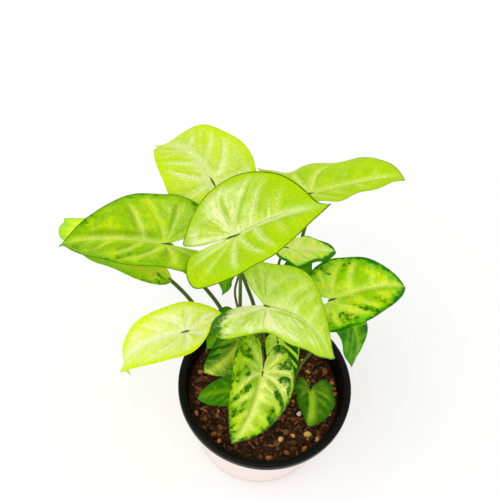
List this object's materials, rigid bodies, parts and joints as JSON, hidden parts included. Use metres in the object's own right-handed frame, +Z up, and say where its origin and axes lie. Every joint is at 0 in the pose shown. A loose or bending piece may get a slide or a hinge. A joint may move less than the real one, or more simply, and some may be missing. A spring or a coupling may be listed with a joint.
{
  "type": "arrowhead plant",
  "caption": "Potted arrowhead plant: arrow-shaped lime and green leaves on slender petioles rise from short shoots in soil, in a round tapered nursery pot.",
  "frame": {"origin": "centre of the pot's base, on the surface that it stands on", "axes": "+Z up along the pot's axis, +X to the viewer's right in the picture's view, +Y away from the viewer"},
  "size_m": [0.2181, 0.1822, 0.291],
  "materials": {
    "pot": "satin, pale pink-white outside, black inside and on the rim",
    "soil": "damp crumbly potting mix",
    "grain": "rough tan and orange mineral grains",
    "stem": "smooth, slightly waxy green stem",
    "leaf": "soft satin lime leaf with pale veins",
    "leaf_mottled": "satin leaf, lime with cream veins and dark green mottling",
    "leaf_green": "satin mid-green leaf"
  },
  "bodies": {
    "root": {"pot": "pot", "soil": "soil", "stem_west": "stem", "stem_north": "stem", "stem_south": "stem", "stem_east": "stem", "leaf_back_left": "leaf", "leaf_left": "leaf", "leaf_left_under": "leaf", "leaf_centre": "leaf", "leaf_low_left": "leaf", "leaf_front_right": "leaf", "leaf_right": "leaf", "leaf_back_small": "leaf", "leaf_back_right": "leaf", "leaf_front": "leaf_mottled", "leaf_front_under": "leaf_mottled", "leaf_ground_left": "leaf_green", "leaf_ground_right": "leaf_green", "leaf_right_under": "leaf_green", "leaf_hidden_tip": "leaf_green", "leaf_under_lobe": "leaf_green", "leaf_between": "leaf_mottled", "leaf_back_under": "leaf_green"}
  },
  "joints": []
}
